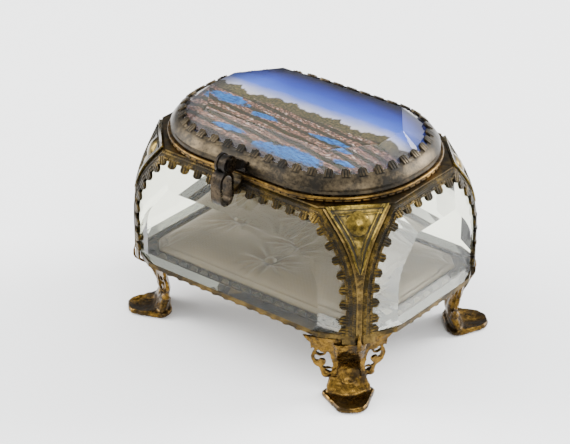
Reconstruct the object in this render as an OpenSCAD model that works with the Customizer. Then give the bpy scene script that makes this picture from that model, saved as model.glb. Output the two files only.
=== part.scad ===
// Glass casket: four bevelled glass walls in toothed brass strips, a hinged lid with a
// picture under thick glass, a padded floor and four scroll feet. The front faces -Y,
// the lid hinges at the back, and the feet stand on z = 0.

/* [Body] */
// Width over the flat faces of the end glasses
body_w = 90.2; // [84:0.1:110]
// Depth over the flat faces of the front and back glasses
body_d = 64.3; // [58:0.1:84]
// Height of the base strip above the table
leg_h = 19.8; // [16:0.1:24]
// Height of the glass walls above the base strip
wall_h = 34.2; // [32:0.1:44]
// Sheet thickness of all pressed brass
sheet_t = 0.5; // [0.4:0.05:0.7]
// Fitting gap between pieces
fit = 0.05; // [0.03:0.01:0.1]

/* [Wall glass] */
// Thickness of the glass at its flat middle
glass_t = 5.5; // [5:0.1:7]
// Width of the bevel, measured across the panel
bevel_run = 9; // [7:0.1:11]
// Depth of the bevel, measured through the panel
bevel_drop = 4.9; // [3.5:0.1:4.95]
// Distance that the corner cuts in from the edge of the panel to its top
edge_shoulder = 11.6; // [10:0.1:13]
// Radius of the panel's edge between upright and corner
edge_r = 27; // [15:0.5:30]
// Distance that the corner of the flat middle cuts in
flat_shoulder = 8.2; // [6:0.1:10]
// Radius of the flat middle between upright and corner
flat_r = 12; // [6:0.5:16]
// Radius of the flat middle's lower corners
flat_foot_r = 3; // [1:0.1:4]
// Slope of the cut corners above the horizontal
corner_angle = 48; // [44:1:52]
// Distance from the end glass's face to the front panel's edge
front_cut = 6; // [5.8:0.05:8]
// Distance from the front glass's face to the end panel's edge
end_cut = 6.45; // [6.2:0.05:8]

/* [Toothed strips] */
// Width of the strip's smooth band on the bevel
band_w = 1.9; // [1.4:0.1:2.6]
// Height of the beads along the band
bead_h = 0.3; // [0.1:0.05:0.4]
// Length of a tooth on the bevel
tooth_l = 2.6; // [1.8:0.1:3.2]
// Width of a tooth
tooth_w = 2.7; // [1.6:0.1:3.4]
// Distance from tooth to tooth
tooth_pitch = 4.5; // [3.6:0.1:6]
// Width of the crimped lip between two teeth
lip_w = 0.35; // [0.2:0.05:0.5]
// Length of that lip
notch_l = 1.2; // [0.8:0.1:1.6]
// Height of the ribs on a tooth
rib_h = 0.3; // [0.1:0.05:0.5]

/* [Mouth] */
// Distance from the end glass's face to the beaded rim
rim_end = 5.5; // [5:0.05:8]
// Distance from the front glass's face to the beaded rim
rim_side = 3.75; // [3.6:0.05:5]
// Half the length of the rim's straight ends
rim_flat = 2.1; // [1:0.1:5]
// Width of the rim
rim_w = 2.7; // [2:0.1:3.4]
// Height of the rim
rim_h = 1.5; // [1.2:0.1:2.4]
// Distance from bead to bead
bead_pitch = 2.4; // [1.8:0.1:4]

/* [Lid] */
// How far the lid stands in from the rim
lid_inset = 0.9; // [0.6:0.1:1.4]
// Height of the bezel's wall
bezel_h = 3.6; // [3.4:0.1:5]
// How far the upper half of that wall leans in
bezel_lean = 1.6; // [1:0.1:2]
// Width of the bezel's upper edge over the glass
bezel_lip = 0.8; // [0.6:0.1:2]
// Width of the ledge that carries the picture
ledge_w = 3.2; // [2.8:0.1:4]
// Gap between the lid and the rim
lid_gap = 0.1; // [0.05:0.05:0.3]
// Thickness of the lid's glass
lid_glass_t = 6.3; // [5:0.1:7]
// Thickness of the lid glass at its edge
lid_edge_t = 1.1; // [0.8:0.1:1.6]
// Width of the bevel at the ends of the lid's glass
lid_bevel_x = 9.3; // [8:0.1:12]
// Width of the bevel along the front of the lid's glass
lid_bevel_y = 10.9; // [9.6:0.1:12]
// Distance from tooth to tooth on the bezel
lid_tooth_pitch = 4.8; // [4:0.1:6]
// Length of the top's cut corners along the front
table_cut_x = 8.6; // [6:0.1:11]
// Length of the top's cut corners along the ends
table_cut_y = 11.4; // [8:0.1:13]
// Thickness of the picture
print_t = 0.2; // [0.1:0.05:0.4]
// Thickness of the plate behind the picture
backing_t = 0.6; // [0.4:0.1:1]

/* [Hinge] */
// Radius of the hinge pin
hinge_pin_r = 0.55; // [0.4:0.05:0.7]
// Radius of the hinge knuckles
knuckle_r = 1.2; // [1.1:0.05:1.5]
// Length of the lid's knuckle
lid_knuckle_l = 5; // [3:0.1:8]
// Length of each knuckle on the frame
frame_knuckle_l = 4.5; // [3:0.1:6]

/* [Clasp] */
// Width of the clasp's strap
hasp_w = 3.4; // [3:0.1:4.4]
// Outer radius of the clasp's eye
eye_r = 2.6; // [2.3:0.05:3]
// Radius of the clasp's pin
clasp_pin_r = 1.4; // [1:0.05:1.6]
// Distance from the bezel to the clasp's pin
clasp_reach = 6; // [5.4:0.1:7]
// Height of the clasp's pin above the bezel's lower edge
clasp_rise = 4.8; // [4.2:0.1:5.4]
// Outer radius of the finger loop's round ends
loop_r = 2.75; // [2.4:0.05:3.2]
// Length of the finger loop's straight sides
loop_l = 4.4; // [3:0.1:6]
// Thickness of the finger loop's strap
loop_t = 0.9; // [0.6:0.05:1.2]
// How far the finger loop hangs forward of the pin
loop_lead = 1.4; // [1:0.1:1.8]

/* [Feet] */
// Length of the sole along the diagonal
sole_l = 12.9; // [11:0.1:14]
// How far the toe reaches past the corner
toe_reach = 4.9; // [3:0.1:5.5]
// Greatest width of the sole
sole_w = 14.8; // [12:0.1:16]
// Thickness of the sole at its rim
sole_t = 1.7; // [1.2:0.1:2.4]
// Reach of each side scroll along the wall
wing_l = 13.6; // [13:0.1:15]
// Turn of a side scroll from square across the corner towards the wall
wing_turn = 20; // [14:1:24]
// How much a side scroll leans in
wing_lean = 10; // [4:1:14]
// How far the corner strip hangs below the base strip
boot_drop = 1.15; // [0.8:0.05:1.6]

/* [Ornament] */
// Height of the spandrel's tip above the table
spandrel_foot_z = 39.5; // [37:0.1:44]
// Gap between the spandrel and the strips beside it
spandrel_gap = 0.8; // [0.4:0.05:1.5]
// Radius of the spandrel's boss
boss_r = 3.3; // [1.6:0.1:3.6]
// Height of the boss
boss_h = 1; // [0.6:0.1:1.4]
// Width of the catch under the clasp
catch_w = 3; // [2:0.1:4]
// Gap between the catch and the clasp
catch_gap = 0.3; // [0.2:0.05:0.5]

/* [Floor] */
// Radius of the half-round tabs of the base strip
tab_r = 1.5; // [1:0.1:1.7]
// Distance from tab to tab
tab_pitch = 4; // [3.5:0.1:6]
// How much the floor's corners are cut
floor_cut = 4; // [3:0.1:6]
// Distance from the base strip to the pad
pad_inset = 1.9; // [1.5:0.1:3]
// Distance of the side buttons from the middle
button_x = 22; // [14:0.5:26]
// Distance of the front and back buttons from the middle
button_y = 13; // [8:0.5:14]
// Thickness of the bottom plate
plate_t = 0.3; // [0.2:0.05:1.4]
// Height of the pad above the bottom plate
pad_h = 4.6; // [3:0.1:6]
// Radius of a covered button
button_r = 1.7; // [1.2:0.1:2.4]

/* [Hidden] */
// Colours of the finishes
dark_brass = [0.36, 0.29, 0.17];
gilt = [0.72, 0.53, 0.22];
bright_gilt = [0.80, 0.66, 0.30];
copper = [0.34, 0.26, 0.20];
clear_glass = [0.80, 0.88, 0.84, 0.35];
silk = [0.62, 0.57, 0.52];
picture_blue = [0.35, 0.47, 0.78];

// Heights, from the table upwards
base_h = 2 * sheet_t + plate_t + 2 * fit;
wall_z = leg_h + base_h;
wall_top = wall_z + wall_h;
plate_z = wall_top + fit;
rim_z = plate_z + sheet_t + fit;
lid_z = rim_z + rim_h + lid_gap;
bezel_knee = lid_z + bezel_h / 2;
lid_glass_z = lid_z + bezel_h - lid_edge_t;
lid_top = lid_glass_z + lid_glass_t;

// Wall panels: 0 is the front, then anticlockwise seen from above
panel_half = [body_w / 2 - front_cut, body_d / 2 - end_cut];
panel_out = [body_d / 2, body_w / 2];
strip_depth = glass_t + fit + sheet_t;
turn = 90 - corner_angle;

// The beaded rim, the lid inside it and the flat top of the lid's glass
rim_x = body_w / 2 - rim_end;
rim_y = body_d / 2 - rim_side;
rim_r = rim_y - rim_flat;
lid_x = rim_x - lid_inset;
lid_y = rim_y - lid_inset;
lid_r = rim_r - lid_inset;
table_x = lid_x - lid_bevel_x;
table_y = lid_y - lid_bevel_y;

// The clasp and the hinge
clasp_y = -lid_y - clasp_reach;
clasp_z = lid_z + clasp_rise;
bore_fit = 0.06;
loop_y = clasp_y - loop_lead;
loop_top = clasp_z - eye_r + loop_t;
hinge_y = rim_y + knuckle_r;
hinge_z = lid_z;

// The middle of the whole casket, clasp included, is the origin
front_reach = loop_r - loop_y;
back_reach = body_d / 2;
body_y = (front_reach - back_reach) / 2;

// Corner of the walls where a foot stands
corner_x = panel_half[0] + 0.3;
corner_y = panel_half[1] + 0.5;
web_gap = 0.1;

// Middle of the clear floor inside the base strip
floor_x = body_w / 2 - glass_t - fit - 2 * sheet_t;
floor_y = body_d / 2 - glass_t - fit - 2 * sheet_t;

// Names of every sub-part

function lerp(a, b, t) = a + (b - a) * t;
function support(shape, angle) = max([for (p = shape) p * [cos(angle), sin(angle)]]);

// Height at which a panel's side turns from upright into the corner's arc
function arc_z(top, shoulder, r) =
    top - (shoulder - r * (1 - cos(turn))) * tan(corner_angle) - r * sin(turn);

// Right half of a panel's outline, from its foot to the corner of its top
function half_path(half_w, foot, top, shoulder, r) = concat(
    [[half_w, foot]],
    [for (i = [0 : 6]) let (t = turn * i / 6)
        [half_w - r + r * cos(t), arc_z(top, shoulder, r) + r * sin(t)]],
    [[half_w - shoulder, top]]);
function both_halves(half) = concat(half, [for (i = [len(half) - 1 : -1 : 0]) [-half[i].x, half[i].y]]);
function edge_path(k, foot = wall_z + fit) =
    both_halves(half_path(panel_half[k % 2], foot, wall_top, edge_shoulder, edge_r));
function flat_path(k, foot = wall_z + fit) =
    both_halves(half_path(panel_half[k % 2] - bevel_run, foot, wall_top - bevel_run, flat_shoulder, flat_r));

// Outline of a casket-wide oval: a rectangle with large round corners
function oval(half_x, half_y, r, n = 12) = [for (k = [0 : 3], i = [0 : n]) let (
    t = 90 * k + 90 * i / n,
    cx = (k == 0 || k == 3 ? 1 : -1) * (half_x - r),
    cy = (k < 2 ? 1 : -1) * (half_y - r)) [cx + r * cos(t), cy + r * sin(t)]];

// A closed outline moved in by a distance all round
function unit(v) = v / norm(v);
function inset(p, d) = [for (i = [0 : len(p) - 1]) let (
    a = unit(p[i] - p[(i + len(p) - 1) % len(p)]),
    b = unit(p[(i + 1) % len(p)] - p[i]),
    na = [-a.y, a.x], nb = [-b.y, b.x]) p[i] + d * (na + nb) / (1 + na * nb)];

module at_body() translate([0, body_y, 0]) children();

// Puts a wall panel drawn upright, facing up, onto side k of the casket
module on_wall(k) at_body() rotate([0, 0, 90 * k]) translate([0, -panel_out[k % 2], 0])
    rotate([90, 0, 0]) children();

// Repeats a piece of the front right corner at corner k
module at_corner(k) at_body() mirror([k == 2 || k == 3 ? 1 : 0, 0, 0]) mirror([0, k == 1 || k == 2 ? 1 : 0, 0])
    children();

// Thick glass wall: flat in the middle, bevelled to a thin edge at the sides and the top
module wall_glass(k) {
    inner = 1 - (sheet_t + 2 * fit) / bevel_run;
    edge_t = glass_t - bevel_drop * inner;
    rim = [for (i = [0 : len(edge_path(k)) - 1]) lerp(flat_path(k)[i], edge_path(k)[i], inner)];
    flat = flat_path(k);
    half_w = panel_half[k % 2] - bevel_run;
    skin = 0.01;
    color(clear_glass) on_wall(k) hull() {
        translate([0, 0, -glass_t]) linear_extrude(edge_t) polygon(rim);
        translate([0, 0, -skin]) linear_extrude(skin) {
            difference() {
                polygon(flat);
                for (side = [-1, 1]) translate([side * half_w, wall_z + fit])
                    rotate([0, 0, 45]) square(flat_foot_r, center = true);
            }
        }
    }
}

// A strip swept along the panel's edge. Each point of its section is [share of the way
// from the flat's outline to the edge, height over the flat]
module swept_strip(k, section) {
    flat = flat_path(k);
    edge = edge_path(k);
    m = len(section);
    n = len(edge);
    points = [for (i = [0 : n - 1], q = section) let (p = lerp(flat[i], edge[i], q[0])) [p.x, p.y, q[1]]];
    polyhedron(points, concat(
        [[for (j = [0 : m - 1]) j]],
        [for (i = [0 : n - 2], j = [0 : m - 1]) let (l = (j + 1) % m)
            [i * m + j, (i + 1) * m + j, (i + 1) * m + l, i * m + l]],
        [[for (j = [m - 1 : -1 : 0]) (n - 1) * m + j]]));
}

// Lengths of the right half of the edge: upright, arc, cut corner and top
function edge_lengths(k) = let (z1 = arc_z(wall_top, edge_shoulder, edge_r)) [z1 - wall_z, edge_r * turn * PI / 180,
    (wall_top - z1 - edge_r * sin(turn)) / sin(corner_angle), panel_half[k % 2] - edge_shoulder];

// Where teeth stand along that half, evenly from the foot to the corner and from there to the
// middle. A shift of a half gives the notches between them
function tooth_lengths(k, shift) = let (l = edge_lengths(k), corner = l[0] + l[1] + l[2],
    n = round(corner / tooth_pitch), m = round(l[3] / tooth_pitch))
    concat([for (i = [0 : n - 1]) (i + shift) * corner / n], [for (i = [0 : m - 1]) corner + (i + shift) * l[3] / m]);

// Place at length u along that half: [x, height, direction it faces]
function edge_station(k, u) = let (
    half_w = panel_half[k % 2], l = edge_lengths(k), z1 = wall_z + l[0], corner = l[0] + l[1] + l[2],
    arc_end = [half_w - edge_r * (1 - cos(turn)), z1 + edge_r * sin(turn)])
    u < l[0] ? [half_w, wall_z + u, 0] :
    u < l[0] + l[1] ? let (t = (u - l[0]) / edge_r * 180 / PI)
        [half_w - edge_r + edge_r * cos(t), z1 + edge_r * sin(t), t] :
    u < corner - fit ? let (c = u - l[0] - l[1])
        [arc_end.x - c * cos(corner_angle), arc_end.y + c * sin(corner_angle), turn] :
    u < corner + fit ? [half_w - edge_shoulder, wall_top, (turn + 90) / 2] :
    [half_w - edge_shoulder - (u - corner), wall_top, 90];

// Ribbed section of a folded tooth, lying on the glass
function tooth_section() = concat(
    [[-tooth_w / 2, 0], [tooth_w / 2, 0]],
    [for (i = [1 : -1 : -1]) let (c = i * tooth_w / 3, h = tooth_w / 12)
        each [[c + h, sheet_t + rib_h], [c - h, sheet_t + rib_h], if (i > -1) [c - 2 * h, sheet_t]]]);

// One tooth: a tongue with a round tip. It starts start_l from the edge and runs inwards and up
module tooth(slope, start_l, length) rotate([0, slope, 0]) translate([-start_l - length, 0, fit]) {
    tip = [for (t = [90 : 30 : 270]) [length / 2 * (1 + cos(t)), tooth_w / 2 * sin(t)]];
    intersection() {
        rotate([90, 0, 90]) linear_extrude(length) polygon(tooth_section());
        translate([0, 0, -fit]) linear_extrude(sheet_t + rib_h + 2 * fit)
            polygon(concat([[length, -tooth_w / 2 - fit], [length, tooth_w / 2 + fit]], tip));
    }
}

// The crimped lip in the notch between two teeth
module notch_lip(slope, start_l) rotate([0, slope, 0])
    translate([-start_l - lip_w, -notch_l / 2, fit]) cube([lip_w, notch_l, sheet_t + bead_h + rib_h / 2]);

// Toothed brass strip that holds one wall's glass
module wall_gallery(k) {
    flat_share = 1 - band_w / bevel_run;
    lip_share = 1 - 1.2 * band_w / bevel_run;
    wall_share = 1 - sheet_t / bevel_run;
    deep = -strip_depth;
    function on_bevel(share, rise) = [share, -bevel_drop * share + rise];
    section = [
        on_bevel(flat_share, fit), on_bevel(flat_share, fit + sheet_t + bead_h),
        on_bevel(lerp(flat_share, 1, 0.2), fit + sheet_t + bead_h), on_bevel(lerp(flat_share, 1, 0.35), fit + sheet_t),
        on_bevel(lerp(flat_share, 1, 0.65), fit + sheet_t), on_bevel(lerp(flat_share, 1, 0.8), fit + sheet_t + bead_h),
        on_bevel(1, fit + sheet_t / 2), [1, deep], [lip_share, deep], [lip_share, deep + sheet_t],
        [wall_share, deep + sheet_t], on_bevel(wall_share, fit)];
    edge = edge_path(k);
    flat = flat_path(k);
    teeth = tooth_lengths(k, 0);
    notches = tooth_lengths(k, 0.5);
    // The lowest tooth stands clear of the base strip, and there is no notch beside it
    lowest = tooth_w / 2 + fit;
    middle = [0, wall_top, 90];
    function slope(s) = atan(bevel_drop / (support(edge, s[2]) - support(flat, s[2])));
    color(dark_brass) on_wall(k) {
        swept_strip(k, section);
        translate([middle.x, middle.y, -bevel_drop]) rotate([0, 0, middle[2]])
            tooth(slope(middle), band_w - fit, tooth_l);
        for (side = [0, 1], u = teeth) let (s = edge_station(k, max(u, lowest)))
            mirror([side, 0, 0]) translate([s.x, s.y, -bevel_drop]) rotate([0, 0, s[2]])
                tooth(slope(s), band_w - fit, tooth_l);
        for (side = [0, 1], i = [1 : len(notches) - 1]) let (s = edge_station(k, notches[i]))
            mirror([side, 0, 0]) translate([s.x, s.y, -bevel_drop]) rotate([0, 0, s[2]])
                notch_lip(slope(s), band_w - lip_w / 2);
    }
}

// The base strip's outline: flat in front of each glass, following the bevels, cut at the corners
function base_outline() = let (
    share = 0.66, back = share * bevel_drop,
    x0 = panel_half[0] - bevel_run, y0 = panel_half[1] - bevel_run,
    quarter = [[body_w / 2, y0], [body_w / 2 - back, lerp(y0, panel_half[1], share)],
        [lerp(x0, panel_half[0], share), body_d / 2 - back], [x0, body_d / 2]])
    concat(quarter, [for (i = [3 : -1 : 0]) [-quarter[i].x, quarter[i].y]],
        [for (p = quarter) -p], [for (i = [3 : -1 : 0]) [quarter[i].x, -quarter[i].y]]);

// Corner strip: a boot that carries the bands of two walls past the base strip, and a strip that
// fills the groove between them and widens into the web behind the spandrel
module corner_post(k) {
    edge = half_path(0, wall_z - sheet_t, wall_top, edge_shoulder, edge_r);
    front_y = body_d / 2 - bevel_drop - web_gap;
    front_in_y = body_d / 2 - strip_depth + web_gap;
    side_x = body_w / 2 - bevel_drop - web_gap;
    side_in_x = body_w / 2 - strip_depth + web_gap;
    points = [for (p = edge) let (x = panel_half[0] + p.x + web_gap, y = -panel_half[1] - p.x - web_gap)
        each [[x, -front_y, p.y], [side_x, y, p.y], [side_in_x, y, p.y], [x, -front_in_y, p.y]]];
    n = len(edge);
    base = base_outline();
    out = fit + sheet_t;
    function beside(p, dx, dy) = [p.x + dx, -p.y - dy];
    color(dark_brass) at_corner(k) {
        polyhedron(points, concat([[0, 1, 2, 3]],
            [for (i = [0 : n - 2], j = [0 : 3]) let (a = 4 * i + j, b = 4 * i + (j + 1) % 4)
                each [[a, a + 4, b + 4], [a, b + 4, b]]],
            [[for (j = [3 : -1 : 0]) 4 * (n - 1) + j]]));
        translate([0, 0, leg_h - boot_drop]) linear_extrude(base_h + boot_drop) polygon([
            beside(base[1], fit, fit), beside(base[2], fit, fit), beside(base[2], fit + out / 2, fit + out),
            [panel_half[0] - web_gap, -front_y - out], [panel_half[0] + 2 * web_gap, -front_y + web_gap],
            [side_x - web_gap, -panel_half[1] - 2 * web_gap], [side_x + out, -panel_half[1] + web_gap],
            beside(base[1], fit + out, fit + out / 2)]);
    }
}

// Places up the face of the web: [middle, direction along it, direction out of it, half width]
function web_place(p) = let (
    a = [panel_half[0] + p.x + web_gap, web_gap + bevel_drop - body_d / 2],
    b = [body_w / 2 - bevel_drop - web_gap, -panel_half[1] - p.x - web_gap],
    e = unit(b - a)) [(a + b) / 2, e, [e.y, -e.x], norm(b - a) / 2];
function web_stations(path) = let (places = [for (p = path) web_place(p)], last = len(path) - 1)
    [for (i = [0 : last]) let (
        here = places[i], up = places[min(i + 1, last)], down = places[max(i - 1, 0)],
        dz = path[min(i + 1, last)].y - path[max(i - 1, 0)].y, run = (up[0] - down[0]) * here[2],
        n = unit([here[2].x * dz, here[2].y * dz, -run]))
        [[here[0].x, here[0].y, path[i].y], [here[1].x, here[1].y, 0], n, here[3]]];

// A plate with a raised border and a ridge inside it, lofted up the web.
// Each row is [station, half width, height of the face, rise of the ridge]
module bordered_plate(rows, low, high) {
    points = [for (r = rows) let (
            w = r[1], h = r[2], edge_w = min(0.7, 0.45 * w),
            ridge = max(w - 1.5, 0.4 * w), ridge_w = min(0.45, 0.2 * w),
            half = [[w, low], [w, high], [w - edge_w, high], [w - edge_w, h], [ridge, h], [ridge, h + r[3]],
                [ridge - ridge_w, h + r[3]], [ridge - ridge_w, h]])
        for (q = concat([for (q = half) [-q.x, q.y]], [for (j = [7 : -1 : 0]) half[j]]))
            r[0][0] + q.x * r[0][1] + q.y * r[0][2]];
    m = 16;
    n = len(rows);
    polyhedron(points, concat([[for (j = [0 : m - 1]) j]],
        [for (i = [0 : n - 2], j = [0 : m - 1]) let (a = i * m + j, b = i * m + (j + 1) % m)
            each [[a, b + m, b], [a, a + m, b + m]]],
        [[for (j = [m - 1 : -1 : 0]) (n - 1) * m + j]]));
}

// Stamped ornament of a corner: a tall triangle that bends up the web, with a raised border,
// a ridged triangle inside it and a domed boss
module spandrel(k) {
    edge = half_path(0, wall_z, wall_top + 0.4, edge_shoulder + 0.4, edge_r);
    last = len(edge) - 1;
    first = [for (i = [0 : last]) if (edge[i].y > spandrel_foot_z) i][0];
    function up_edge(i, z) = lerp(edge[i - 1], edge[i], (z - edge[i - 1].y) / (edge[i].y - edge[i - 1].y));
    flat_h = sheet_t;
    border_h = sheet_t + 0.4;
    step = fit;
    // Bars across the top: [distance below the top, height of the face, rise of the ridge]
    bars = [[2.2, flat_h, 0.25], [2.2 - step, flat_h + 0.25, step], [1.75, flat_h + 0.25, step],
        [1.75 - step, flat_h, step], [0.9, flat_h, step], [0.9 - step, border_h - step, step],
        [0, border_h - step, step]];
    path = concat([up_edge(first, spandrel_foot_z)], [for (i = [first : last - 1]) edge[i]],
        [for (bar = bars) up_edge(last, edge[last].y - bar[0])]);
    stations = web_stations(path);
    below = len(path) - len(bars);
    rows = [for (i = [0 : len(path) - 1]) let (w = i == 0 ? 0.25 : stations[i][3] - spandrel_gap) [stations[i], w,
        i < below ? flat_h : bars[i - below][1], i >= below ? bars[i - below][2] : w > 2 ? 0.25 : step]];
    boss = web_stations([edge[last - 1], up_edge(last, edge[last].y - 0.72 * (edge[last].y - edge[last - 1].y)),
        edge[last]])[1];
    color(bright_gilt) at_corner(k) {
        bordered_plate(rows, 2 * fit, border_h);
        translate(boss[0] + flat_h * boss[2]) rotate([0, acos(boss[2].z), atan2(boss[2].y, boss[2].x)]) boss_cap();
    }
}
module boss_cap() {
    ball = (boss_r * boss_r + boss_h * boss_h) / (2 * boss_h);
    rotate_extrude($fn = 40) intersection() {
        translate([0, boss_h - ball]) circle(ball, $fn = 96);
        translate([0, -0.2]) square([boss_r, boss_h + 0.2]);
    }
}

// Stations of half-round tabs along the four straight sides: [x, y, turn]
function tab_stations(half_x, half_y, out_x, out_y) = concat(
    [for (side = [0, 180], n = [round(half_x / tab_pitch)], i = [-n : n - 1])
        let (x = (i + 0.5) * half_x / n) [x * cos(side), -out_y * cos(side), side]],
    [for (side = [90, 270], n = [round(half_y / tab_pitch)], i = [-n : n - 1])
        let (y = (i + 0.5) * half_y / n) [out_x * sin(side), y * sin(side), side]]);

function cut_box(half_x, half_y, cut) = let (q = [[half_x, half_y - cut], [half_x - cut, half_y]])
    [q[0], q[1], [-q[1].x, q[1].y], [-q[0].x, q[0].y], -q[0], -q[1], [q[1].x, -q[1].y], [q[0].x, -q[0].y]];

// Folded base strip: a channel around the bottom plate, with half-round tabs over the pad's
// edge and a scalloped row of them underneath
module base_gallery() {
    outline = base_outline();
    half_disc = [for (t = [0 : 22.5 : 180]) tab_r * [cos(t), sin(t)]];
    color(dark_brass) at_body() {
        difference() {
            translate([0, 0, leg_h]) linear_extrude(base_h) polygon(outline);
            translate([0, 0, leg_h + sheet_t]) linear_extrude(base_h - 2 * sheet_t) polygon(inset(outline, sheet_t));
            translate([0, 0, wall_z - 2 * sheet_t]) linear_extrude(3 * sheet_t)
                polygon(cut_box(floor_x, floor_y, floor_cut));
            translate([0, 0, leg_h - sheet_t]) linear_extrude(3 * sheet_t)
                polygon(cut_box(floor_x, floor_y, floor_cut));
        }
        for (s = tab_stations(floor_x - floor_cut, floor_y - floor_cut, floor_x + sheet_t / 2, floor_y + sheet_t / 2))
            translate([s.x, s.y, wall_z - sheet_t]) rotate([0, 0, s[2]]) rotate([40, 0, 0])
                linear_extrude(0.9 * sheet_t) polygon(half_disc);
        for (s = tab_stations(panel_half[0] - wing_l - 0.5, panel_half[1] - wing_l - 0.5,
                body_w / 2 - tab_r, body_d / 2 - tab_r))
            translate([s.x, s.y, leg_h - 0.8 * sheet_t]) cylinder(r = tab_r, h = sheet_t, $fn = 24);
    }
}

module base_plate() color(dark_brass) at_body() translate([0, 0, leg_h + sheet_t + fit])
    linear_extrude(plate_t) polygon(inset(base_outline(), sheet_t + 2 * fit));

// Where the pad's buttons sit
function button_places() = [[0, 0], [button_x, 0], [-button_x, 0], [0, button_y], [0, -button_y]];
pad_z = leg_h + sheet_t + plate_t + 3 * fit;
dimple_r = 3.5;
dimple = 1.1;

// Tufted pad: a cushion with a dimple under each button
module base_pad() color(silk) at_body() difference() {
    hull() {
        translate([0, 0, pad_z]) linear_extrude(pad_h / 3)
            polygon(cut_box(floor_x - pad_inset, floor_y - pad_inset, floor_cut));
        translate([0, 0, pad_z + pad_h - fit]) linear_extrude(fit)
            polygon(cut_box(floor_x - pad_inset - pad_h, floor_y - pad_inset - pad_h, floor_cut));
    }
    for (p = button_places()) translate([p.x, p.y, pad_z + pad_h + dimple_r - dimple]) sphere(dimple_r, $fn = 32);
}

module pad_buttons() {
    seat = dimple_r - sqrt(dimple_r * dimple_r - (button_r + fit) * (button_r + fit));
    color(silk) at_body() for (p = button_places()) translate([p.x, p.y, pad_z + pad_h - dimple + seat + fit])
        intersection() {
            cylinder(r = button_r, h = button_r, $fn = 32);
            translate([0, 0, -button_r * 0.7]) sphere(button_r * 1.25, $fn = 32);
        }
}

// Sweeps a section around a rectangle with round corners. The section's x is the distance
// beyond the outline of that radius, its y is the height
module oval_sweep(half_x, half_y, r) for (k = [0 : 3]) {
    c = k % 2 == 0 ? [half_x - r, half_y - r] : [half_y - r, half_x - r];
    rotate([0, 0, 90 * k]) translate([c.x, c.y, 0]) {
        rotate_extrude(angle = 90, $fn = 96) translate([r, 0]) children();
        rotate([90, 0, 0]) linear_extrude(2 * c.y) translate([r, 0]) children();
    }
}

// The same ring in flat facets, for a section that carries teeth
module oval_ring(half_x, half_y, r, section) {
    outlines = [for (q = section) oval(half_x + q.x, half_y + q.x, r + q.x, 16)];
    m = len(section);
    n = len(outlines[0]);
    polyhedron([for (i = [0 : n - 1], j = [0 : m - 1]) [outlines[j][i].x, outlines[j][i].y, section[j].y]],
        [for (i = [0 : n - 1], j = [0 : m - 1]) let (l = (j + 1) % m, next = (i + 1) % n)
            [i * m + j, i * m + l, next * m + l, next * m + j]]);
}

module oval_face(half_x, half_y, r) {
    square([2 * half_x, 2 * (half_y - r)], center = true);
    square([2 * (half_x - r), 2 * half_y], center = true);
    for (x = [-1, 1], y = [-1, 1]) translate([x * (half_x - r), y * (half_y - r)]) circle(r, $fn = 96);
}

// Evenly spaced places around such an oval: [x, y, direction it faces]
function oval_length(half_x, half_y, r) = 4 * (half_x + half_y - 2 * r) + 2 * PI * r;
function quarter_station(l, cx, cy, r) = l < cy ? [cx + r, l, 0] :
    l < cy + r * PI / 2 ? let (t = (l - cy) / r * 180 / PI) [cx + r * cos(t), cy + r * sin(t), t] :
    [cx - (l - cy - r * PI / 2), cy + r, 90];
function oval_stations(half_x, half_y, r, pitch) = let (
    n = round(oval_length(half_x, half_y, r) / 4 / pitch), step = oval_length(half_x, half_y, r) / 4 / n)
    [for (i = [0 : n - 1]) let (s = quarter_station((i + 0.5) * step, half_x - r, half_y - r, r))
        each [s, [-s.x, s.y, 180 - s[2]], [-s.x, -s.y, 180 + s[2]], [s.x, -s.y, -s[2]]]];

// Flat plate on top of the walls, with the oval mouth. Its corners stay behind the spandrels
module top_plate() {
    out = 0.4;
    clear = 0.6;
    x1 = body_w / 2 - bevel_drop + out;
    y1 = body_d / 2 - bevel_drop + out;
    x0 = panel_half[0] - edge_shoulder - out - clear;
    y0 = panel_half[1] - edge_shoulder - out - clear;
    color(dark_brass) at_body() translate([0, 0, plate_z]) linear_extrude(sheet_t) difference() {
        polygon([[x1, y0], [x0, y1], [-x0, y1], [-x1, y0], [-x1, -y0], [-x0, -y1], [x0, -y1], [x1, -y0]]);
        oval_face(rim_x - rim_w, rim_y - rim_w, rim_r - rim_w);
    }
}

// Beaded rim of the mouth; the beads stop where the hinge and the catch are soldered on
module top_rim() {
    lip = 0.45;
    bead_r = 0.35;
    color(gilt) at_body() translate([0, 0, rim_z]) {
        oval_sweep(rim_x, rim_y, rim_r) {
            translate([-rim_w, 0]) square([rim_w - lip, rim_h]);
            translate([-lip, rim_h - lip]) circle(lip, $fn = 32);
        }
        for (s = oval_stations(rim_x - lip, rim_y - lip, rim_r - lip, bead_pitch))
            if (abs(s.x) > hinge_l() / 2 + bead_pitch)
                translate([s.x, s.y, bead_r]) rotate([0, 0, s[2]]) rotate([90, 0, 0])
                    cylinder(r = bead_r, h = 0.7 * bead_pitch, center = true, $fn = 16);
    }
}
function hinge_l() = lid_knuckle_l + 2 * frame_knuckle_l + 4 * fit;

// Catch: a tongue on the rim that the clasp's loop rests against
module catch_plate() color(dark_brass) at_body() translate([-catch_w / 2, 0, 0]) rotate([90, 0, 90])
    linear_extrude(catch_w) polygon([
        [-rim_y - fit, rim_z + rim_h], [-rim_y - fit, rim_z - 1.2], [-rim_y - 0.9, rim_z - 2.4],
        [loop_y + loop_r + catch_gap, rim_z - 2.4], [loop_y + loop_r + catch_gap, rim_z - 1.2],
        [-rim_y - 1, rim_z - 0.6], [-rim_y - fit - sheet_t, rim_z + 0.2], [-rim_y - fit - sheet_t, rim_z + rim_h]]);

leaf_drop = 1.6;
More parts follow.
